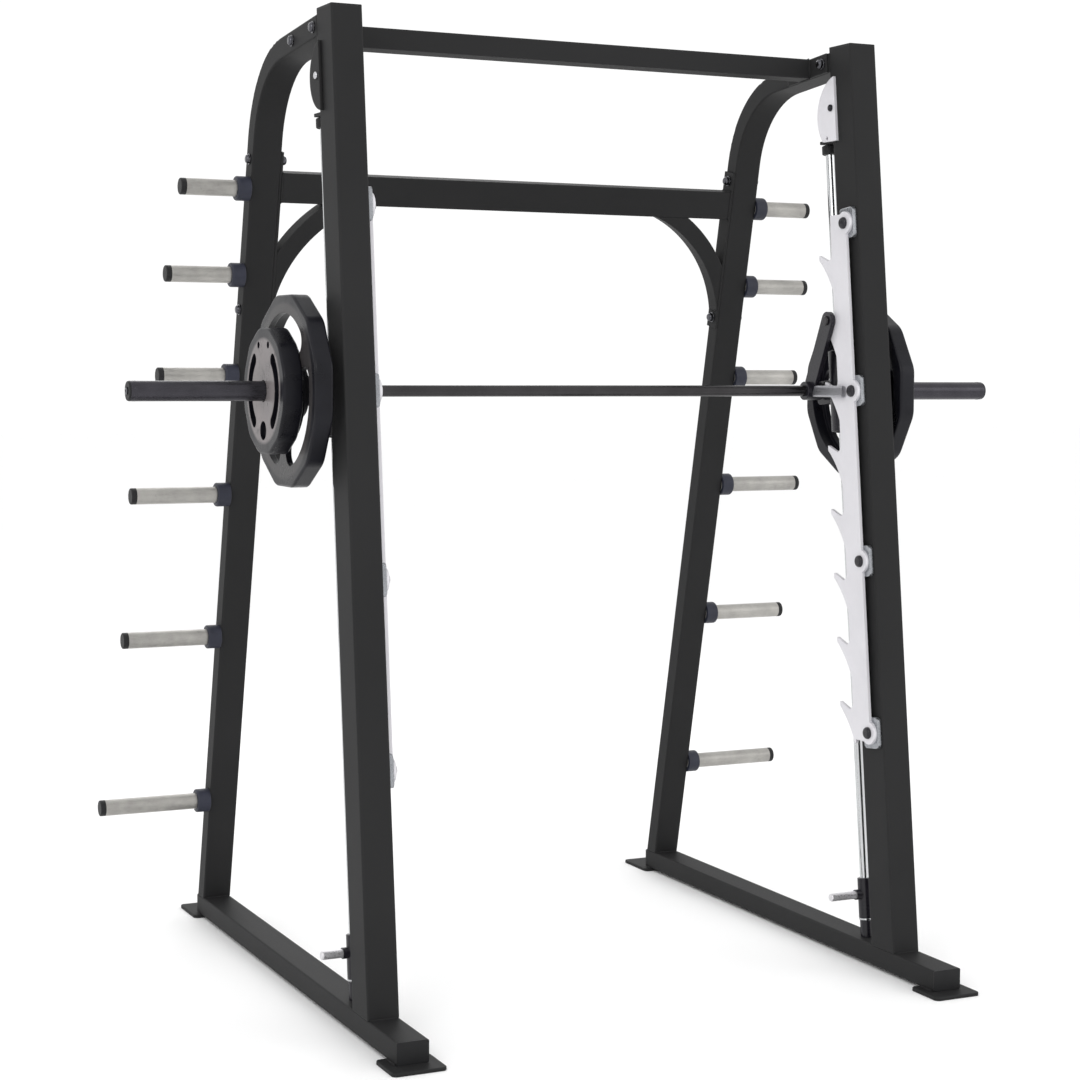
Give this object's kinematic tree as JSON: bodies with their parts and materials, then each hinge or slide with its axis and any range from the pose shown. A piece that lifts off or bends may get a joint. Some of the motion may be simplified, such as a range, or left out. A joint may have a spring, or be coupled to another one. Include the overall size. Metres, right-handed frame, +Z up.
{
  "type": "smith machine",
  "caption": "Leaning steel frame with a guided barbell that hooks onto side racks, swinging safety stops, storage horns and weight plates.",
  "frame": {"origin": "on the floor at the centre of the footprint box", "axes": "+Z up; +X to the machine's right, along the bar; -Y towards the side the front posts stand on"},
  "size_m": [2.353, 1.636, 2.34],
  "materials": {
    "frame_paint": "satin powder coat",
    "light_paint": "satin",
    "black_paint": "satin",
    "galvanised": "zinc plated",
    "rod_chrome": "polished",
    "bolt_chrome": "polished",
    "black_plastic": "matt",
    "collar_rubber": "matt",
    "plate_iron": "painted"
  },
  "bodies": {
    "frame": {"base_rail_left": "frame_paint", "base_rail_right": "frame_paint", "foot_plates_front": "frame_paint", "foot_plates_rear": "frame_paint", "front_post_left": "frame_paint", "front_post_right": "frame_paint", "rear_post_left": "frame_paint", "rear_post_right": "frame_paint", "top_crossbar": "frame_paint", "top_crossbar_end_plates": "frame_paint", "rear_crossbar": "frame_paint", "rear_crossbar_end_plates": "frame_paint", "brace_left": "frame_paint", "brace_right": "frame_paint", "rod_top_mounts": "frame_paint", "outer_gusset_left": "frame_paint", "outer_gusset_right": "frame_paint", "rack_plate_left": "light_paint", "rack_plate_right": "light_paint", "rack_lugs": "light_paint", "gusset_plate_left": "light_paint", "gusset_plate_right": "light_paint", "rack_bolts": "black_paint", "gusset_bolts": "black_paint", "rod_feet": "black_paint", "storage_horns_left": "galvanised", "storage_horns_right": "galvanised", "guide_rod_left": "rod_chrome", "guide_rod_right": "rod_chrome", "frame_bolts": "bolt_chrome", "frame_nuts": "bolt_chrome", "rail_end_caps": "black_plastic", "front_post_caps": "black_plastic", "horn_caps": "black_plastic", "rod_bumpers": "black_plastic", "horn_collars": "collar_rubber"},
    "carriages": {"carriage_left": "black_paint", "carriage_right": "black_paint"},
    "barbell": {"bar_shaft": "rod_chrome", "bar_sleeve_left": "black_paint", "bar_sleeve_right": "black_paint", "sleeve_flanges": "black_paint", "sleeve_caps": "black_plastic", "catch_hubs": "black_paint", "catch_arm_left": "black_paint", "catch_arm_right": "black_paint", "catch_pins": "rod_chrome", "forward_arm_left": "rod_chrome", "forward_arm_right": "rod_chrome"},
    "stop_slider_left": {"stop_washer_left": "rod_chrome"},
    "stop_left": {"stop_barrel_left": "black_paint", "stop_peg_left": "rod_chrome"},
    "large_plate_left_body": {"large_plate_left": "plate_iron"},
    "small_plate_left_body": {"small_plate_left": "plate_iron"},
    "stop_slider_right": {"stop_washer_right": "rod_chrome"},
    "stop_right": {"stop_barrel_right": "black_paint", "stop_peg_right": "rod_chrome"},
    "large_plate_right_body": {"large_plate_right": "plate_iron"},
    "small_plate_right_body": {"small_plate_right": "plate_iron"}
  },
  "joints": [
    {"name": "bar_lift", "type": "slide", "parent": "frame", "child": "carriages", "axis": [0, 0.1087, 0.9941], "range_m": [-0.98383, 0.49192]},
    {"name": "bar_turn", "type": "hinge", "parent": "carriages", "child": "barbell", "pos_m": [0, -0.222, 1.4544], "axis": [-1, 0, 0], "range_deg": [0, 20]},
    {"name": "stop_slide_left", "type": "slide", "parent": "frame", "child": "stop_slider_left", "axis": [0, 0.1087, 0.9941], "range_m": [0, 0.54]},
    {"name": "stop_swing_left", "type": "hinge", "parent": "stop_slider_left", "child": "stop_left", "pos_m": [-0.6981, -0.41094, 0.166], "axis": [0, 0.1087, 0.9941], "range_deg": [-225, 45]},
    {"name": "large_plate_slide_left", "type": "slide", "parent": "barbell", "child": "large_plate_left_body", "axis": [-1, 0, 0], "range_m": [0, 0.45]},
    {"name": "small_plate_slide_left", "type": "slide", "parent": "large_plate_left_body", "child": "small_plate_left_body", "axis": [-1, 0, 0], "range_m": [0, 0.4]},
    {"name": "stop_slide_right", "type": "slide", "parent": "frame", "child": "stop_slider_right", "axis": [0, 0.1087, 0.9941], "range_m": [0, 0.54]},
    {"name": "stop_swing_right", "type": "hinge", "parent": "stop_slider_right", "child": "stop_right", "pos_m": [0.6981, -0.41094, 0.166], "axis": [0, 0.1087, 0.9941], "range_deg": [-225, 45]},
    {"name": "large_plate_slide_right", "type": "slide", "parent": "barbell", "child": "large_plate_right_body", "axis": [1, 0, 0], "range_m": [0, 0.45]},
    {"name": "small_plate_slide_right", "type": "slide", "parent": "large_plate_right_body", "child": "small_plate_right_body", "axis": [1, 0, 0], "range_m": [0, 0.4]}
  ]
}
